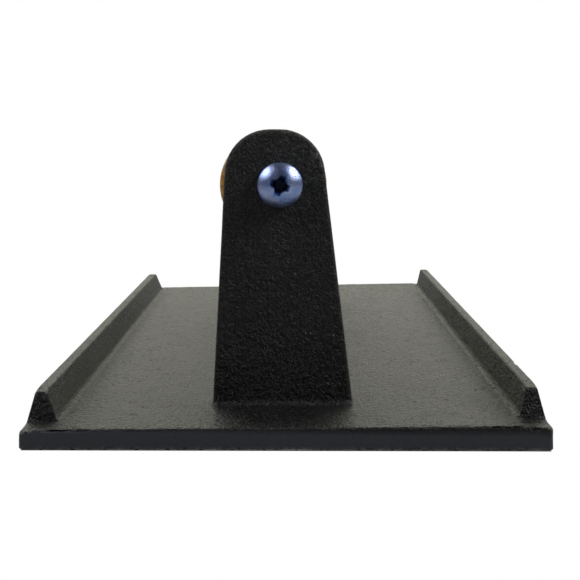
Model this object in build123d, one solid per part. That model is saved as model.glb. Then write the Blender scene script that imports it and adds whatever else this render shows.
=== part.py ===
from build123d import *
import math
import os

# A rectangular cast-iron grill press: a flat weight that is set on food on a griddle.
# One iron casting makes the plate, a low rail along each long side and two upright posts. A round
# wooden grip lies between the posts on one long tie bolt, which is closed at the far post by a flat
# washer, a split lock washer and a hexagon nut. The grip turns on its bolt.
#
# Frame: millimetres, +Z up, Z = 0 on the sole that presses the food, the origin at the middle of the
# plate. The long side runs along Y, and the bolt's head faces -Y.

# Plate, with its flat sole down. The mould left its +X side thicker than its -X side.
plate_width = 108.0
plate_length = 216.0
plate_thickness = 4.75
plate_thickness_rise = 1.6
plate_corner_radius = 0.9
plate_top_edge_radius = 0.7
plate_sole_edge_chamfer = 0.3

# V-grooves along the sole, which leave searing lands between them
groove_pitch = 6.45
groove_width = 1.0
groove_depth = 0.35
groove_shift = -1.15
groove_least_edge_land = 3.5

# Rails along the long sides
rail_height = 6.4
rail_top_width = 2.4
rail_outer_slope = 15.5
left_rail_inner_slope = 20.0
right_rail_inner_slope = 11.0
rail_top_radius = 0.75
rail_root_radius = 1.5
rail_end_setback = 7.2
rail_end_slope = 7.0
rail_end_edge_radius = 0.35

# Posts, which taper upwards to a top with broad round shoulders and lean a little to one side
post_height = 59.4
post_base_width = 30.6
post_base_shift = -0.8
post_top_width = 19.75
post_top_shift = -2.875
post_shoulder_radius = 9.6
post_top_thickness = 6.5
post_inner_draft = 1.0
post_end_inset = 19.4
post_edge_radius = 0.9
post_root_radius = 1.25

# Tie bolt, M5 with a pan head and a cross recess
bolt_diameter = 5.0
bolt_hole_clearance = 0.25
bolt_shift = -1.43
bolt_drop = 11.75
head_diameter = 9.6
head_height = 3.5
head_side_height = 1.3
head_rim_radius = 0.4
head_dome_width_share = 0.55
head_dome_rise_share = 0.72
bolt_end_chamfer = 0.6
bolt_end_standout = 2.0
recess_width = 4.9
recess_wing = 1.5
recess_core = 3.4
recess_depth = 2.6
recess_floor_share = 0.42
recess_wing_share = 0.8
recess_turn = -19.0

# Washers and nut on the far end of the bolt
flat_washer_diameter = 10.0
flat_washer_thickness = 1.0
flat_washer_clearance = 0.15
lock_washer_diameter = 9.2
lock_washer_thickness = 1.2
lock_washer_clearance = 0.05
lock_washer_slit = 0.7
lock_washer_slit_angle = 25.0
nut_across_flats = 8.0
nut_height = 4.0
nut_thread_clearance = 0.05
nut_face_share = 0.95
nut_chamfer_angle = 30.0
nut_turn = 11.0

# Wooden grip, a straight dowel with a bore that is wide for the bolt, so it sits off the bolt's axis
grip_diameter = 23.4
grip_end_rounding = 1.4
grip_end_gap = 0.35
grip_bore_clearance = 1.75
grip_offset_x = -1.55
grip_offset_z = -0.4

# Places that follow from the sizes above
plate_top = plate_thickness
top_of_all = plate_top + post_height
post_outer_face = plate_length / 2 - post_end_inset
post_top_inner_face = post_outer_face - post_top_thickness
bolt_z = top_of_all - bolt_drop
bolt_radius = bolt_diameter / 2
bolt_hole_radius = bolt_radius + bolt_hole_clearance
grip_x = bolt_shift + grip_offset_x
grip_z = bolt_z + grip_offset_z
grip_bore_radius = bolt_radius + grip_bore_clearance
flat_washer_face = post_outer_face
lock_washer_face = flat_washer_face + flat_washer_thickness
nut_face = lock_washer_face + lock_washer_thickness
bolt_end = nut_face + nut_height + bolt_end_standout
past = 1.0  # how far a cutting tool runs past what it cuts


def top_at(x):
    """The height of the plate's upper side, which rises evenly from the -X edge to the +X edge."""
    return plate_thickness + plate_thickness_rise * x / plate_width


def inner_face_y(z):
    """How far from the middle a post's inner face stands at height z, which is less lower down."""
    return post_top_inner_face - (top_of_all - z) * math.tan(math.radians(post_inner_draft))


def along_y(outline_xz, length):
    """A closed outline of (x, z) points as a prism of that length, centred on Y = 0."""
    face = Plane.XZ * make_face(Polyline(*outline_xz, close=True))
    return extrude(face, length / 2, both=True)


def make_plate():
    """The wedge-shaped plate, with its corners and its upper and lower edges eased."""
    half = plate_width / 2
    body = along_y([(-half, 0), (half, 0), (half, top_at(half)), (-half, top_at(-half))], plate_length)
    body = fillet(body.edges().filter_by(Axis.Z), plate_corner_radius)
    body = fillet(body.faces().sort_by(Axis.Z)[-1].edges(), plate_top_edge_radius)
    return chamfer(body.faces().sort_by(Axis.Z)[0].edges(), plate_sole_edge_chamfer)


def make_rail(side, inner_slope):
    """The rail on the -X side (side -1) or the +X side (1). Its outer slope has no ledge at its foot."""
    foot = top_at(side * plate_width / 2) - plate_top_edge_radius
    crest = top_at(side * plate_width / 2) + rail_height
    outer_top = plate_width / 2 - (crest - foot) * math.tan(math.radians(rail_outer_slope))
    inner_top = outer_top - rail_top_width
    inner_root = inner_top - rail_height * math.tan(math.radians(inner_slope))
    root_end = inner_root - rail_root_radius
    section = make_face(Polyline(
        (side * plate_width / 2, foot), (side * outer_top, crest), (side * inner_top, crest),
        (side * inner_root, top_at(side * inner_root)), (side * root_end, top_at(side * root_end)),
        (side * root_end, foot - past), (side * plate_width / 2, foot - past), close=True))
    crests = section.vertices().filter_by(lambda v: abs(v.Y - crest) < 1e-6)
    section = fillet(crests, rail_top_radius)
    root = section.vertices().sort_by_distance((side * inner_root, top_at(side * inner_root), 0))[0]
    section = fillet(root, rail_root_radius)
    bar = extrude(Plane.XZ * section, plate_length / 2, both=True)
    half = plate_length / 2 - rail_end_setback
    lean = math.tan(math.radians(rail_end_slope))
    profile = make_face(Polyline(
        (-half - lean * past, foot - past), (half + lean * past, foot - past),
        (half - lean * (crest - foot + past), crest + past),
        (-half + lean * (crest - foot + past), crest + past), close=True))
    bar &= extrude(Plane.YZ * profile, plate_width, both=True)
    ends = bar.edges().filter_by(
        lambda e: abs(e.center().Y) > half - lean * crest - 1e-3 and e.center().Z > foot + 0.1)
    ends = ends.filter_by(lambda e: abs(e.tangent_at(0.5).Y) < 0.5)
    return fillet(ends, rail_end_edge_radius)


def make_post():
    """The post at the -Y end, still sharp: a tongue with round shoulders, thicker at its foot on the inside."""
    left_x = post_base_shift - post_base_width / 2
    right_x = post_base_shift + post_base_width / 2
    foot = top_at(left_x) - past
    outline = make_face(Polyline(
        (left_x, foot), (left_x, top_at(left_x)), (post_top_shift - post_top_width / 2, top_of_all),
        (post_top_shift + post_top_width / 2, top_of_all), (right_x, top_at(right_x)), (right_x, foot),
        close=True))
    shoulders = outline.vertices().filter_by(lambda v: abs(v.Y - top_of_all) < 1e-6)
    outline = fillet(shoulders, post_shoulder_radius)
    tongue = extrude(Plane.XZ * outline, plate_length / 2)
    side = make_face(Polyline(
        (-post_outer_face, foot), (-inner_face_y(foot), foot),
        (-inner_face_y(top_of_all + past), top_of_all + past),
        (-post_outer_face, top_of_all + past), close=True))
    return tongue & extrude(Plane.YZ * side, plate_width / 2, both=True)


def round_posts(body):
    """Rounds the outline of both posts on the plate, and then fills the roots where they stand on it."""
    rims = body.edges().filter_by(lambda e: e.center().Z > plate_top + post_root_radius)
    body = fillet(rims.filter_by(lambda e: abs(e.tangent_at(0.5).Y) < 0.5), post_edge_radius)
    roots = body.edges().filter_by(lambda e: abs(e.center().Z - top_at(e.center().X)) < 1e-3)
    roots = roots.filter_by(lambda e: abs(e.center().X - post_base_shift) < post_base_width / 2 + past)
    inner_root = inner_face_y(plate_top) - past
    roots = roots.filter_by(lambda e: inner_root < abs(e.center().Y) < post_outer_face + past)
    return fillet(roots, post_root_radius)


def make_base_casting():
    """Plate, rails and posts in one iron casting, with the sole's grooves and the drilled bolt holes."""
    post = make_post()
    body = round_posts(make_plate() + post + mirror(post, Plane.XZ))
    body = body + make_rail(-1, left_rail_inner_slope) + make_rail(1, right_rail_inner_slope)
    room = plate_width - 2 * (groove_least_edge_land + abs(groove_shift) + groove_width / 2)
    gaps = int(room / groove_pitch)
    for n in range(gaps + 1):
        x = groove_shift + (n - gaps / 2) * groove_pitch
        body -= along_y(
            [(x - groove_width, -groove_depth), (x, groove_depth), (x + groove_width, -groove_depth)],
            plate_length + 2 * past)
    hole = Cylinder(bolt_hole_radius, plate_length, rotation=(90, 0, 0))
    return body - Pos(bolt_shift, 0, bolt_z) * hole


def make_cross_recess():
    """The cross-shaped hole in the bolt's head: four wings that narrow downwards round a conical core."""
    floor = recess_floor_share
    mouth = Rectangle(recess_width, recess_wing) + Rectangle(recess_wing, recess_width)
    low_wing = recess_wing * recess_wing_share
    bottom = Rectangle(recess_width * floor, low_wing) + Rectangle(low_wing, recess_width * floor)
    wings = loft([mouth, Pos(0, 0, -recess_depth) * bottom])
    core = Pos(0, 0, -recess_depth / 2) * Cone(
        recess_core / 2 * floor, recess_core / 2, recess_depth)
    return wings + core + extrude(mouth, past)


def make_tie_bolt():
    """The long bolt: a pan head with a domed top, a plain round shank and a chamfered end."""
    side_radius = head_diameter / 2
    dome_rise = (head_height - head_side_height) * head_dome_rise_share
    dome = ThreePointArc(
        (side_radius, head_side_height),
        (side_radius * head_dome_width_share, head_side_height + dome_rise),
        (0, head_height))
    side = Line((side_radius, 0), (side_radius, head_side_height))
    outline = [Line((0, 0), (side_radius, 0)), side, dome, Line((0, head_height), (0, 0))]
    head = revolve(Plane.XZ * make_face(outline), Axis.Z)
    rims = head.edges().filter_by(GeomType.CIRCLE).filter_by(
        lambda e: abs(e.radius - side_radius) < 1e-3 and e.center().Z > head_side_height / 2)
    head = fillet(rims, head_rim_radius)
    head -= Pos(0, 0, head_height) * Rot(0, 0, recess_turn) * make_cross_recess()
    shank_length = post_outer_face + bolt_end
    shank = Cylinder(bolt_radius, shank_length, align=(Align.CENTER, Align.CENTER, Align.MAX))
    shank = chamfer(shank.edges().sort_by(Axis.Z)[0], bolt_end_chamfer)
    return Pos(bolt_shift, -post_outer_face, bolt_z) * Rot(90, 0, 0) * (head + shank)


def on_bolt(piece, near_y):
    """Puts a piece that stands on Z = 0 on the bolt's axis, from near_y on towards +Y."""
    return Pos(bolt_shift, near_y, bolt_z) * Rot(-90, 0, 0) * piece


def make_ring(outer_diameter, clearance, thickness):
    """A flat ring on Z = 0, with a hole that clears the bolt."""
    ring = Circle(outer_diameter / 2) - Circle(bolt_radius + clearance)
    return extrude(ring, thickness)


def make_lock_washer():
    """A split spring washer, drawn flat as it is when tight, with its slanting slit."""
    ring = make_ring(lock_washer_diameter, lock_washer_clearance, lock_washer_thickness)
    slit = Box(lock_washer_diameter, lock_washer_slit, lock_washer_thickness + 2 * past,
               align=(Align.MIN, Align.CENTER, Align.CENTER))
    return ring - Pos(0, 0, lock_washer_thickness / 2) * Rot(lock_washer_slit_angle, 0, 0) * slit


def make_hex_nut():
    """A hexagon nut with both faces chamfered to a circle, and its tapped hole drawn plain."""
    hexagon = RegularPolygon(nut_across_flats / 2, 6, major_radius=False)
    corner = nut_across_flats / math.sqrt(3)
    cut = corner - nut_across_flats / 2 * nut_face_share
    turned = Cylinder(corner, nut_height, align=(Align.CENTER, Align.CENTER, Align.MIN))
    rims = turned.edges().filter_by(GeomType.CIRCLE)
    turned = chamfer(rims, cut * math.tan(math.radians(nut_chamfer_angle)), cut)
    bore = Cylinder(bolt_radius + nut_thread_clearance, 2 * (nut_height + past))
    return Rot(0, 0, nut_turn) * (extrude(hexagon, nut_height) & turned) - bore


def make_grip():
    """The dowel between the posts, with rounded ends and a bore right through."""
    radius = grip_diameter / 2
    length = 2 * (inner_face_y(grip_z - radius) - grip_end_gap)
    body = Cylinder(radius, length)
    body = fillet(body.edges().filter_by(GeomType.CIRCLE), grip_end_rounding)
    body -= Cylinder(grip_bore_radius, length + 2 * past)
    return Pos(grip_x, 0, grip_z) * Rot(90, 0, 0) * body


os.makedirs("parts", exist_ok=True)
pieces = {
    "base_casting": make_base_casting(),
    "tie_bolt": make_tie_bolt(),
    "flat_washer": on_bolt(
        make_ring(flat_washer_diameter, flat_washer_clearance, flat_washer_thickness), flat_washer_face),
    "lock_washer": on_bolt(make_lock_washer(), lock_washer_face),
    "hex_nut": on_bolt(make_hex_nut(), nut_face),
    "wood_grip": make_grip(),
}
for name, piece in pieces.items():
    export_step(piece, f"parts/{name}.step")
    print(name, round(piece.volume / 1000, 2), "cm3", piece.bounding_box())
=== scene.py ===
import math

import bmesh
import bpy
from mathutils import Euler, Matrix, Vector, noise


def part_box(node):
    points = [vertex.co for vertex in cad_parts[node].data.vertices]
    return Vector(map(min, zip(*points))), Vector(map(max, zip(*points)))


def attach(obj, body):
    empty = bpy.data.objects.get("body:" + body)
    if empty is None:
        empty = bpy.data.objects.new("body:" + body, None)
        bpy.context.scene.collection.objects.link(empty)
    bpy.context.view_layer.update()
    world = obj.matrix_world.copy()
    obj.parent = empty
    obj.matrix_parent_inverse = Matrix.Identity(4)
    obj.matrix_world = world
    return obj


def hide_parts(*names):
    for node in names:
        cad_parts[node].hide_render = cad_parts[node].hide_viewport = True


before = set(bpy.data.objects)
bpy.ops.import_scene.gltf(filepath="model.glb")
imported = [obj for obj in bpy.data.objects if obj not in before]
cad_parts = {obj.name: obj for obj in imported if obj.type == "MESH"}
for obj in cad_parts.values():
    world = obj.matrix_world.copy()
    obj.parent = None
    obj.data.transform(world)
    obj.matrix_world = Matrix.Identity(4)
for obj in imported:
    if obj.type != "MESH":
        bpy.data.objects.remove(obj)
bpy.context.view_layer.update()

# ---- Camera -------------------------------------------------------------------------------------
# A long lens level with the top of the posts, off the bolt-head end of the press and looking down
# on the plate a little, so the plate runs away from it and the near post hides the grip.
camera = bpy.data.objects.new("camera", bpy.data.cameras.new("camera"))
bpy.context.scene.collection.objects.link(camera)
camera.data.sensor_width = 36.0
camera.data.lens = 72.47
camera.data.clip_start = 0.01
camera.data.clip_end = 20.0
camera.location = (0.00073, -0.3365, 0.06435)
camera.rotation_euler = Euler((math.radians(82.102), math.radians(-0.125), math.radians(0.017)))
bpy.context.scene.camera = camera

# ---- Base casting -------------------------------------------------------------------------------
# One sand casting in grey iron: the plate with its grooved sole, a rail along each long side and the
# two posts. It came from the mould with a pebbled skin, was ground along its edges by hand, and has
# been baked black with oil.
iron_low, iron_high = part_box("base_casting")
half_width, half_length, post_top = iron_high
plate_height = 0.0034
rail_height = 0.0124
coarse_grid, fine_grid = 0.0024, 0.0006
grid_shift = 0.37
fine_strip, fine_rows = 0.0042, 5


def cut_across(mesh, geometry, axis, places):
    """Cuts part of a mesh by planes across an axis, and gives back that part with what was added."""
    normal = Vector([float(n == axis) for n in range(3)])
    for place in places:
        geometry = bmesh.ops.bisect_plane(
            mesh, geom=geometry, dist=1e-7, plane_co=normal * place, plane_no=normal)["geom"]
    return geometry


def even_places(low, high, step):
    """Places about one step apart between two ends, none of them on an end."""
    count = max(1, round((high - low) / step))
    return [low + (high - low) * (n + grid_shift) / count for n in range(count)]


def whole(mesh, keep=lambda face: True):
    """The chosen faces of a mesh with their edges and corners."""
    faces = [face for face in mesh.faces if keep(face)]
    edges = {edge for face in faces for edge in face.edges}
    corners = {corner for face in faces for corner in face.verts}
    return list(corners) + list(edges) + faces


# The posts' shoulders are round, and the CAD mesh has them as flat facets. Each side of a post is
# known by its X at the top and at the foot, from which the middle of the shoulder's circle follows.
post_sides = ((-1, -0.01275, -0.0161), (1, 0.0070, 0.0145))
shoulder_radius = 0.0096
shoulder_skin = 0.0011
least_facet = math.radians(1.5)
same_angle = 1e-4
shoulder_z = post_top - shoulder_radius
shoulder_x = {}
for side, top_x, foot_x in post_sides:
    lean = math.atan2(abs(foot_x - top_x), post_top - plate_height)
    shoulder_x[side] = top_x - side * shoulder_radius / math.tan(math.pi / 4 + lean / 2)


def on_shoulder(place):
    """Side, angle from the top and reach of a place on a post's round shoulder, or None elsewhere."""
    side = -1 if place.x < shoulder_x[-1] else 1
    across, up = side * (place.x - shoulder_x[side]), place.z - shoulder_z
    reach = math.hypot(across, up)
    if across < 0 or up < 0 or abs(reach - shoulder_radius) > shoulder_skin:
        return None
    return side, math.atan2(across, up), reach


def facet_meets(mesh):
    """The angles, on each side, where the flat facets of the shoulders meet."""
    meets = {-1: [0.0], 1: [0.0]}
    for side, angle, reach in sorted(filter(None, (on_shoulder(corner.co) for corner in mesh.verts))):
        if angle - meets[side][-1] > least_facet:
            meets[side].append(angle)
    return meets


def round_shoulders(mesh, meets):
    """Lifts the points that were cut into the flat facets out to the round of the shoulder."""
    for corner in mesh.verts:
        found = on_shoulder(corner.co)
        if found is None:
            continue
        side, angle, reach = found
        below = [meet for meet in meets[side] if meet <= angle + same_angle]
        above = [meet for meet in meets[side] if meet > angle + same_angle]
        if not above:
            continue
        middle, half_facet = (below[-1] + above[0]) / 2, (above[0] - below[-1]) / 2
        reach *= math.cos(angle - middle) / math.cos(half_facet)
        corner.co.x = shoulder_x[side] + side * reach * math.sin(angle)
        corner.co.z = shoulder_z + reach * math.cos(angle)


skin = bmesh.new()
skin.from_mesh(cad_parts["base_casting"].data)
bmesh.ops.remove_doubles(skin, verts=skin.verts, dist=2e-6)
bmesh.ops.dissolve_limit(skin, angle_limit=math.radians(0.15), verts=skin.verts, edges=skin.edges)
meets = facet_meets(skin)
for axis in range(3):
    cut_across(skin, whole(skin), axis, even_places(iron_low[axis], iron_high[axis], coarse_grid))
round_shoulders(skin, meets)
for end in (-1, 1):
    strip = whole(skin, lambda face: end * face.calc_center_median().y > half_length - fine_strip
                  and face.calc_center_median().z > plate_height / 2)
    strip = cut_across(skin, strip, 0, even_places(-half_width, half_width, fine_grid))
    cut_across(skin, strip, 1, [end * (half_length - n * fine_grid) for n in range(1, fine_rows + 1)])


def fade(value, start, end):
    """0 up to the start, 1 from the end on, and an even slope between them."""
    return min(1.0, max(0.0, (value - start) / (end - start)))


def lumps_at(place, size, seed):
    """Smooth noise from 0 to 1 with lumps of that size."""
    return 0.5 + 0.5 * noise.noise(Vector(place) / size + Vector((seed, 0.31 * seed, -seed)))


# Where the skin is rubbed bright, along its outer bends, and where the plate's edges were ground.
worn_bend = (math.radians(3), math.radians(18))
ground_margin = (-0.0010, -0.0005)
ground_height = (0.0036, 0.0044)
wear_layer = skin.verts.layers.float.new("edge_wear")
ground_layer = skin.verts.layers.float.new("ground_edge")
for corner in skin.verts:
    bend = max((edge.calc_face_angle_signed(0.0) for edge in corner.link_edges), default=0.0)
    corner[wear_layer] = fade(bend, *worn_bend)
    x, y, z = corner.co
    outward = max(abs(x) - half_width, abs(y) - half_length)
    corner[ground_layer] = fade(outward, *ground_margin) * (1 - fade(z, *ground_height))

# The relief of the skin only cuts into the CAD shape. The sole and the seat round the bolt stay flat.
bolt_low, bolt_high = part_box("tie_bolt")
bolt_x, bolt_z = (bolt_low[0] + bolt_high[0]) / 2, (bolt_low[2] + bolt_high[2]) / 2
seat_ring = (0.0062, 0.0085)
above_sole = (0.0003, 0.0012)
wave_size, wave_depth, wave_seed = 0.011, 0.00006, 3.0
lump_size, lump_depth, lump_seed = 0.0021, 0.00004, 8.0
rim_size, rim_depth, rim_seed = 0.0009, 0.00022, 5.0
rim_strip = (half_length - 0.0016, half_length - 0.0008)
rim_height = (0.0028, 0.0036)


def skin_depth(place):
    """How deep the relief of the cast skin is cut at a place."""
    seat = math.hypot(place.x - bolt_x, place.z - bolt_z)
    free = fade(seat, *seat_ring) * fade(place.z, *above_sole)
    rim = fade(abs(place.y), *rim_strip) * fade(place.z, *rim_height)
    return free * (wave_depth * lumps_at(place, wave_size, wave_seed)
                   + lump_depth * lumps_at(place, lump_size, lump_seed)
                   + rim_depth * rim * lumps_at(place, rim_size, rim_seed))


# The casting warped a little as it cooled: the plate is twisted, its corners and the rails' ends sag,
# the far post is lower, and a chip is gone from the right rail.
end_twist = 0.0045
above_rail = (rail_height, 0.017)
corner_sag, corner_reach = 0.0004, (half_width - 0.0032, half_width)
corner_run = (half_length - 0.009, half_length - 0.006)
far_post_drop, drop_height = 0.0004, (0.045, 0.060)
rail_end_drop, rail_end_run = 0.0005, (0.0945, 0.1005)
rail_inner_side, rail_rise = (half_width - 0.0065, half_width - 0.0055), (plate_height, 0.009)
chip_place = Vector((half_width - 0.0016, -0.076, 0.0117))
chip_depth, chip_reach = 0.0007, (0.00088, 0.0022)


def warp(place):
    """How far a place on the casting is raised by the warp, less than nothing where it sags."""
    x, y, z = place
    from_sole = fade(z, above_sole[1], plate_height)
    rise = from_sole * (1 - fade(z, *above_rail)) * end_twist * x * y / half_length
    rise -= corner_sag * from_sole * fade(abs(x), *corner_reach) * fade(abs(y), *corner_run)
    if y > 0:
        rise -= far_post_drop * fade(z, *drop_height)
    on_rail = fade(abs(x), *rail_inner_side) * fade(z, *rail_rise)
    rise -= rail_end_drop * on_rail * fade(abs(y), *rail_end_run) ** 2
    chip = 1 - fade((place - chip_place).length, *chip_reach)
    return rise - chip_depth * chip * (0.6 + 0.4 * lumps_at(place, lump_size, lump_seed))


moves = {}
for corner in skin.verts:
    moves[corner] = Vector((0, 0, warp(corner.co))) - corner.normal * skin_depth(corner.co)
for corner, move in moves.items():
    corner.co += move

sharp_iron_bend = math.radians(38)
iron_mesh = bpy.data.meshes.new("cast_iron_base")
skin.to_mesh(iron_mesh)
skin.free()
iron_mesh.shade_smooth()
iron_mesh.set_sharp_from_angle(angle=sharp_iron_bend)
iron_base = bpy.data.objects.new("cast_iron_base", iron_mesh)
bpy.context.scene.collection.objects.link(iron_base)


def empty_material(name):
    """A material without nodes, and its node tree."""
    material = bpy.data.materials.new(name)
    material.use_nodes = True
    material.node_tree.nodes.clear()
    return material, material.node_tree


def new_material(name):
    """A material with one shader; gives back the material, its node tree and the shader."""
    material, tree = empty_material(name)
    output = tree.nodes.new("ShaderNodeOutputMaterial")
    shader = tree.nodes.new("ShaderNodeBsdfPrincipled")
    tree.links.new(shader.outputs["BSDF"], output.inputs["Surface"])
    return material, tree, shader


def add_node(tree, kind, **values):
    """A shader node of that kind; values name its settings, or its inputs with _ for a space."""
    node = tree.nodes.new("ShaderNode" + kind)
    for name, value in values.items():
        if hasattr(node, name):
            setattr(node, name, value)
        else:
            node.inputs[name.replace("_", " ")].default_value = value
    return node


def noise_of(tree, place, scale, detail=2.0, rough=0.5):
    """The value output of a noise texture at the given place."""
    node = add_node(tree, "TexNoise", Scale=scale, Detail=detail, Roughness=rough)
    tree.links.new(place, node.inputs["Vector"])
    return node.outputs["Fac"]


def stretch(tree, value, start, end, low=0.0, high=1.0):
    """Maps start..end of a value onto low..high, held at both ends."""
    node = add_node(tree, "MapRange")
    for slot, number in zip(("From Min", "From Max", "To Min", "To Max"), (start, end, low, high)):
        node.inputs[slot].default_value = number
    tree.links.new(value, node.inputs["Value"])
    return node.outputs["Result"]


def reckon(tree, operation, first, second, third=None):
    """A maths node on two or three values, each a socket or a number."""
    node = add_node(tree, "Math", operation=operation)
    for n, value in enumerate((first, second, third)):
        if value is None:
            continue
        if isinstance(value, (int, float)):
            node.inputs[n].default_value = value
        else:
            tree.links.new(value, node.inputs[n])
    return node.outputs["Value"]


def blend_colours(tree, amount, first, second):
    """Mixes two colours by an amount; each colour is a socket or four numbers."""
    node = add_node(tree, "Mix", data_type="RGBA")
    tree.links.new(amount, node.inputs["Factor"])
    for slot, colour in (("A", first), ("B", second)):
        socket = [s for s in node.inputs if s.name == slot and s.type == "RGBA"][0]
        if isinstance(colour, tuple):
            socket.default_value = colour
        else:
            tree.links.new(colour, socket)
    return [s for s in node.outputs if s.type == "RGBA"][0]


def make_skin_grain():
    """Node group: the grit, small pits and worm-like marks of a cast or plated skin, at a chosen size."""
    group = bpy.data.node_groups.new("skin_grain", "ShaderNodeTree")
    group.interface.new_socket("Place", in_out="INPUT", socket_type="NodeSocketVector")
    group.interface.new_socket("Grit per metre", in_out="INPUT", socket_type="NodeSocketFloat")
    group.interface.new_socket("Worm width", in_out="INPUT", socket_type="NodeSocketFloat")
    for name in ("Grit", "Pits", "Worms"):
        group.interface.new_socket(name, in_out="OUTPUT", socket_type="NodeSocketFloat")
    given = group.nodes.new("NodeGroupInput")
    result = group.nodes.new("NodeGroupOutput")

    def sized(share, detail, rough):
        """Noise whose scale is a share of the grit's."""
        texture = add_node(group, "TexNoise", Detail=detail, Roughness=rough)
        group.links.new(given.outputs["Place"], texture.inputs["Vector"])
        scale = reckon(group, "MULTIPLY", given.outputs["Grit per metre"], share)
        group.links.new(scale, texture.inputs["Scale"])
        return texture.outputs["Fac"]

    grit = sized(1.0, 3.0, 0.65)
    cells = add_node(group, "TexVoronoi", feature="F1")
    group.links.new(given.outputs["Place"], cells.inputs["Vector"])
    pit_scale = reckon(group, "MULTIPLY", given.outputs["Grit per metre"], 0.42)
    group.links.new(pit_scale, cells.inputs["Scale"])
    pits = stretch(group, cells.outputs["Distance"], 0.34, 0.16)
    pitted = stretch(group, sized(0.1, 2.0, 0.5), 0.44, 0.6)
    pits = reckon(group, "MULTIPLY", pits, pitted)
    level = reckon(group, "ABSOLUTE", reckon(group, "SUBTRACT", sized(0.52, 1.0, 0.5), 0.5), 0.0)
    worms = reckon(group, "SUBTRACT", 1.0, reckon(group, "DIVIDE", level, given.outputs["Worm width"]))
    worms = reckon(group, "MAXIMUM", worms, 0.0)
    gaps = stretch(group, sized(0.8, 2.0, 0.6), 0.42, 0.60)
    worms = reckon(group, "MULTIPLY", worms, gaps)
    for name, value in (("Grit", grit), ("Pits", pits), ("Worms", worms)):
        group.links.new(value, result.inputs[name])
    return group


skin_grain = make_skin_grain()


def place_grain(tree, place, grit_per_metre, worm_width):
    """Puts the grain group in a material with its own size and width of worm."""
    node = add_node(tree, "Group", node_tree=skin_grain)
    node.inputs["Grit per metre"].default_value = grit_per_metre
    node.inputs["Worm width"].default_value = worm_width
    tree.links.new(place, node.inputs["Place"])
    return node.outputs


def raise_bumps(tree, shader, height, distance, strength):
    """Feeds a height into the shader's normal, at that many metres from low to high."""
    bump = add_node(tree, "Bump", Strength=strength, Distance=distance)
    tree.links.new(height, bump.inputs["Height"])
    tree.links.new(bump.outputs["Normal"], shader.inputs["Normal"])


baked_black = (0.0026, 0.0026, 0.0029, 1)
rubbed_grey = (0.150, 0.146, 0.138, 1)
ground_iron = (0.060, 0.064, 0.075, 1)
dry_brown = (0.012, 0.0105, 0.0085, 1)
iron_grit, iron_worm = 2300.0, 0.085
iron_bump = 0.00020
iron_skin, tree, shader = new_material("baked_black_iron")
shader.inputs["IOR"].default_value = 1.44
place = add_node(tree, "TexCoord").outputs["Object"]
grain = place_grain(tree, place, iron_grit, iron_worm)

# The mould's marks are only on the cast skin, and fade where the edges were ground.
ground = add_node(tree, "Attribute", attribute_name="ground_edge").outputs["Fac"]
cast = reckon(tree, "MULTIPLY_ADD", ground, -0.85, 1.0)
worms = reckon(tree, "MULTIPLY", grain["Worms"], cast)
lumps = noise_of(tree, place, 860.0, 2.0, 0.55)
clouds = noise_of(tree, place, 75.0, 3.0, 0.6)

# A few curled scratches, each on the outline of a patch in the noise.
scratches = reckon(tree, "SUBTRACT", noise_of(tree, place, 330.0, 0.0), 0.60)
scratches = stretch(tree, reckon(tree, "ABSOLUTE", scratches, 0.0), 0.011, 0.003)
scratched = stretch(tree, noise_of(tree, place, 60.0), 0.60, 0.66)
scratches = reckon(tree, "MULTIPLY", scratches, scratched)

# Bare grey iron on the worms' crests, along the outer bends and in the scratches.
edge = add_node(tree, "Attribute", attribute_name="edge_wear").outputs["Fac"]
patchy = stretch(tree, noise_of(tree, place, 1300.0, 2.0), 0.36, 0.58)
edge = reckon(tree, "MULTIPLY", edge, patchy)
rubbed = reckon(tree, "MAXIMUM", reckon(tree, "MULTIPLY", worms, 0.28), edge)
scratches = reckon(tree, "MULTIPLY", scratches, reckon(tree, "MULTIPLY", cast, 0.6))
rubbed = reckon(tree, "MAXIMUM", rubbed, scratches)
dry = stretch(tree, clouds, 0.56, 0.80, 0.0, 0.6)
black = blend_colours(tree, dry, baked_black, dry_brown)
black = blend_colours(tree, ground, black, ground_iron)
tree.links.new(blend_colours(tree, rubbed, black, rubbed_grey), shader.inputs["Base Color"])

dull = stretch(tree, clouds, 0.3, 0.7, 0.30, 0.40)
dull = reckon(tree, "MULTIPLY_ADD", grain["Pits"], 0.40, dull)
dull = reckon(tree, "MULTIPLY_ADD", worms, -0.12, dull)
tree.links.new(dull, shader.inputs["Roughness"])

height = reckon(tree, "MULTIPLY_ADD", lumps, 2.6, reckon(tree, "MULTIPLY", grain["Grit"], 1.4))
height = reckon(tree, "MULTIPLY_ADD", grain["Pits"], -1.1, height)
height = reckon(tree, "MULTIPLY_ADD", worms, 0.75, height)
raise_bumps(tree, shader, reckon(tree, "MULTIPLY", height, cast), iron_bump, 1.0)
iron_mesh.materials.clear()
iron_mesh.materials.append(iron_skin)
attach(iron_base, "base")
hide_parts("base_casting")

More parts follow.
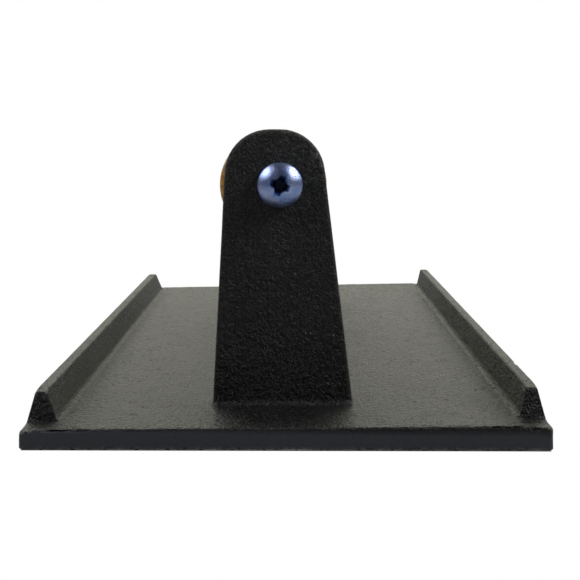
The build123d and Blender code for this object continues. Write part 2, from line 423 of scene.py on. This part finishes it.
# ---- Tie bolt, washers and nut --------------------------------------------------------------------
# One long pan-headed bolt of plain steel runs through both posts and the grip. A flat washer, a split
# lock washer and a hexagon nut close it at the far post. All four are zinc plated with a blue cast.
plated_blue = (0.32, 0.47, 0.93, 1)
plated_violet = (0.54, 0.62, 0.98, 1)
# This dark colour is tarnish in the plating's pits and also painted shade deep in the bolt's cross
# recess.
tarnish_and_recess_shade = (0.018, 0.022, 0.045, 1)
zinc_grit, zinc_worm = 3600.0, 0.04
zinc_bump = 0.00005
blue_zinc, tree, shader = new_material("blue_zinc_plate")
shader.inputs["Metallic"].default_value = 1.0
place = add_node(tree, "TexCoord").outputs["Object"]
grain = place_grain(tree, place, zinc_grit, zinc_worm)
clouds = noise_of(tree, place, 420.0, 2.0)
plated = blend_colours(tree, stretch(tree, clouds, 0.38, 0.62), plated_blue, plated_violet)
# Darkened towards that colour by tarnish in the pits, and by painted shade deep in the bolt's cross
# recess.
recess_shade = add_node(tree, "Attribute", attribute_name="painted_recess_shade").outputs["Fac"]
pit_grime_and_recess_shade = reckon(tree, "MAXIMUM", reckon(tree, "MULTIPLY", grain["Pits"], 0.5), recess_shade)
tree.links.new(blend_colours(tree, pit_grime_and_recess_shade, plated, tarnish_and_recess_shade), shader.inputs["Base Color"])
tree.links.new(reckon(tree, "MULTIPLY_ADD", grain["Grit"], 0.22, 0.20), shader.inputs["Roughness"])
raise_bumps(tree, shader, reckon(tree, "SUBTRACT", grain["Grit"], grain["Pits"]), zinc_bump, 0.8)


def eased_copy(node, name, edge_ease):
    """A piece's CAD mesh with its sharp outer edges eased by a small width, ready to be shaded."""
    copy = bmesh.new()
    copy.from_mesh(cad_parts[node].data)
    bmesh.ops.remove_doubles(copy, verts=copy.verts, dist=2e-6)
    bmesh.ops.dissolve_limit(copy, angle_limit=math.radians(0.3), verts=copy.verts, edges=copy.edges)
    sharp = [edge for edge in copy.edges if edge.calc_face_angle_signed(0.0) > math.radians(25)]
    bmesh.ops.bevel(copy, geom=sharp, offset=edge_ease, segments=2, profile=0.5, affect="EDGES",
                    clamp_overlap=True)
    mesh = bpy.data.meshes.new(name)
    copy.to_mesh(mesh)
    copy.free()
    mesh.shade_smooth()
    mesh.set_sharp_from_angle(angle=math.radians(32))
    mesh.materials.clear()
    mesh.materials.append(blue_zinc)
    piece = bpy.data.objects.new(name, mesh)
    bpy.context.scene.collection.objects.link(piece)
    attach(piece, "base")
    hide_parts(node)
    return piece


# Painted shade in the bolt's cross recess: a place is painted darker the deeper it lies below the head's
# dome.
head_radius, dome_drop = 0.0048, 0.0021
recess_reach = 0.0026
recess_depths = (0.0003, 0.0022)
bolt_piece = eased_copy("tie_bolt", "plated_tie_bolt", 0.00004)
painted_recess_shade = bolt_piece.data.attributes.new("painted_recess_shade", "FLOAT", "POINT")
dome_top_y = bolt_low[1]
post_face_y = -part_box("flat_washer")[0][1]
for n, corner in enumerate(bolt_piece.data.vertices):
    off_axis = math.hypot(corner.co.x - bolt_x, corner.co.z - bolt_z)
    dome_y = dome_top_y + dome_drop * (off_axis / head_radius) ** 2
    in_recess = off_axis < recess_reach and corner.co.y < post_face_y
    painted_recess_shade.data[n].value = fade(corner.co.y - dome_y, *recess_depths) if in_recess else 0.0

for node, name, edge_ease in (("flat_washer", "plated_flat_washer", 0.00010),
                              ("lock_washer", "plated_split_washer", 0.00008),
                              ("hex_nut", "plated_hexagon_nut", 0.00006)):
    eased_copy(node, name, edge_ease)

# ---- Grip ----------------------------------------------------------------------------------------
# A turned hardwood dowel between the posts, bored through for the bolt and finished in a golden
# brown lacquer. Its growth rings run along it and show as arcs on its ends.
pale_wood = (0.72, 0.36, 0.070, 1)
dark_wood = (0.32, 0.125, 0.022, 1)
pore_brown = (0.085, 0.032, 0.010, 1)
pith_x, pith_z = -0.022, 0.012
ring_gap = 0.0021
wood_bump = 0.00006
lacquered_wood, tree, shader = new_material("lacquered_hardwood")
shader.inputs["Coat Roughness"].default_value = 0.22
shader.inputs["Coat IOR"].default_value = 1.5
shader.inputs["Coat Weight"].default_value = 0.5
place = add_node(tree, "TexCoord").outputs["Object"]


def drawn_out(tree, place, share):
    """The place with its Y cut to a share, so that a pattern put there is drawn out along the grip."""
    mapping = add_node(tree, "Mapping")
    mapping.inputs["Scale"].default_value = (1.0, share, 1.0)
    tree.links.new(place, mapping.inputs["Vector"])
    return mapping.outputs["Vector"]


wander = noise_of(tree, drawn_out(tree, place, 0.12), 55.0, 2.0)
fibre = drawn_out(tree, place, 0.035)
pores = stretch(tree, noise_of(tree, fibre, 1900.0, 2.0), 0.58, 0.70)
streaks = noise_of(tree, fibre, 420.0, 3.0)

# Growth rings round a pith that lies outside the dowel: pale wood that darkens towards each ring's end.
split = add_node(tree, "SeparateXYZ")
tree.links.new(place, split.inputs["Vector"])
across_x = reckon(tree, "SUBTRACT", split.outputs["X"], pith_x)
across_z = reckon(tree, "SUBTRACT", split.outputs["Z"], pith_z)
reach = reckon(tree, "MULTIPLY_ADD", across_x, across_x, reckon(tree, "MULTIPLY", across_z, across_z))
reach = reckon(tree, "POWER", reach, 0.5)
rings = reckon(tree, "MULTIPLY_ADD", wander, 2.6, reckon(tree, "DIVIDE", reach, ring_gap))
rings = reckon(tree, "FRACT", rings, 0.0)
late = reckon(tree, "MULTIPLY", stretch(tree, rings, 0.25, 0.92), stretch(tree, rings, 1.0, 0.94))
shade = reckon(tree, "MULTIPLY", late, stretch(tree, wander, 0.35, 0.65, 0.25, 0.5))
shade = reckon(tree, "MULTIPLY_ADD", stretch(tree, streaks, 0.35, 0.7), 0.45, shade)
wood = blend_colours(tree, shade, pale_wood, dark_wood)
wood = blend_colours(tree, reckon(tree, "MULTIPLY", pores, 0.55), wood, pore_brown)
tree.links.new(wood, shader.inputs["Base Color"])
tree.links.new(stretch(tree, streaks, 0.3, 0.7, 0.34, 0.48), shader.inputs["Roughness"])
raise_bumps(tree, shader, reckon(tree, "MULTIPLY_ADD", pores, -0.8, streaks), wood_bump, 0.7)
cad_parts["wood_grip"].data.materials.clear()
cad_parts["wood_grip"].data.materials.append(lacquered_wood)

# ---- Floor and light -----------------------------------------------------------------------------
# A white sweep under and behind the press, so bright that it shows no edge, and a dark room in front
# of it. Two soft lamps, high on either side, light the bolt's head and the grit of the casting.
floor_reach = 4.0
shade_inset, shade_dip = 0.0004, 0.0002
shade_x, shade_y = half_width - shade_inset, half_length - shade_inset
corners = [(side_x * reach_x, side_y * reach_y, height)
           for reach_x, reach_y, height in ((floor_reach, floor_reach, 0), (shade_x, shade_y, -shade_dip))
           for side_x, side_y in ((-1, -1), (1, -1), (1, 1), (-1, 1))]
around = [(n, (n + 1) % 4, 4 + (n + 1) % 4, 4 + n) for n in range(4)]
floor_mesh = bpy.data.meshes.new("floor")
floor_mesh.from_pydata(corners, [], [*around, (4, 5, 6, 7)])
floor = bpy.data.objects.new("floor", floor_mesh)
bpy.context.scene.collection.objects.link(floor)
paper_white = (0.40, 0.40, 0.40, 1)


def end_in_mix(tree, kind, amount, first, second):
    """Ends the node tree of a material or a world in a mix of two shaders by an amount."""
    output = add_node(tree, "Output" + kind)
    swap = add_node(tree, "MixShader")
    tree.links.new(amount, swap.inputs["Fac"])
    tree.links.new(first.outputs[0], swap.inputs[1])
    tree.links.new(second.outputs[0], swap.inputs[2])
    tree.links.new(swap.outputs["Shader"], output.inputs["Surface"])


# The paper glows white to the camera and stays a dull white to the press.
white_paper, tree = empty_material("white_paper")
end_in_mix(tree, "Material", add_node(tree, "LightPath").outputs["Is Camera Ray"],
           add_node(tree, "BsdfDiffuse", Color=paper_white),
           add_node(tree, "Emission", Color=(1, 1, 1, 1), Strength=1.0))
floor_mesh.materials.append(white_paper)

# Under the sole it doesn't glow. It shows only from above, so the sole can be seen and lit from below.
shaded_paper, tree = empty_material("shaded_paper")
clear = reckon(tree, "SUBTRACT", 1.0, add_node(tree, "LightPath").outputs["Is Camera Ray"])
clear = reckon(tree, "MAXIMUM", clear, add_node(tree, "NewGeometry").outputs["Backfacing"])
end_in_mix(tree, "Material", clear, add_node(tree, "BsdfDiffuse", Color=paper_white),
           add_node(tree, "BsdfTransparent"))
floor_mesh.materials.append(shaded_paper)
floor_mesh.polygons[4].material_index = 1

# The room: dark in front, bright behind, and dimmer near the horizon than overhead.
room_tones = ((0.0, (0.020, 0.022, 0.026)), (0.45, (0.030, 0.032, 0.038)), (0.66, (0.16, 0.165, 0.16)),
              (0.88, (0.95, 0.96, 0.84)), (1.0, (1.0, 1.0, 0.87)))
horizon, overhead = 0.07, 0.19
horizon_light, overhead_light = 0.10, 1.56
room = bpy.data.worlds.new("studio")
bpy.context.scene.world = room
room.use_nodes = True
tree = room.node_tree
tree.nodes.clear()
lit = add_node(tree, "Background")
end_in_mix(tree, "World", add_node(tree, "LightPath").outputs["Is Camera Ray"], lit,
           add_node(tree, "Background", Color=(1, 1, 1, 1)))
split = add_node(tree, "SeparateXYZ")
tree.links.new(add_node(tree, "TexCoord").outputs["Generated"], split.inputs["Vector"])
ramp = add_node(tree, "ValToRGB")
while len(ramp.color_ramp.elements) < len(room_tones):
    ramp.color_ramp.elements.new(0.5)
for element, (spot, colour) in zip(ramp.color_ramp.elements, room_tones):
    element.position = spot
    element.color = (*colour, 1)
tree.links.new(stretch(tree, split.outputs["Y"], -1.0, 1.0), ramp.inputs["Fac"])
tree.links.new(ramp.outputs["Color"], lit.inputs["Color"])
height = reckon(tree, "ABSOLUTE", split.outputs["Z"], 0.0)
strength = stretch(tree, height, horizon, overhead, horizon_light, overhead_light)
tree.links.new(strength, lit.inputs["Strength"])

lamp_size = 0.45
lamp_x, lamp_y, lamp_z = 0.75, -0.24, 0.68
lamp_aim = Vector((0, 0, 0.03))
for side, power in ((-1, 2.6), (1, 4.6)):
    lamp = bpy.data.lights.new("soft_lamp", "AREA")
    lamp.shape = "RECTANGLE"
    lamp.size = lamp_size
    lamp.size_y = lamp_size
    lamp.energy = power
    soft_lamp = bpy.data.objects.new("soft_lamp", lamp)
    soft_lamp.location = (side * lamp_x, lamp_y, lamp_z)
    soft_lamp.rotation_euler = (lamp_aim - soft_lamp.location).to_track_quat("-Z", "Y").to_euler()
    bpy.context.scene.collection.objects.link(soft_lamp)

bpy.context.scene.view_settings.view_transform = "Standard"
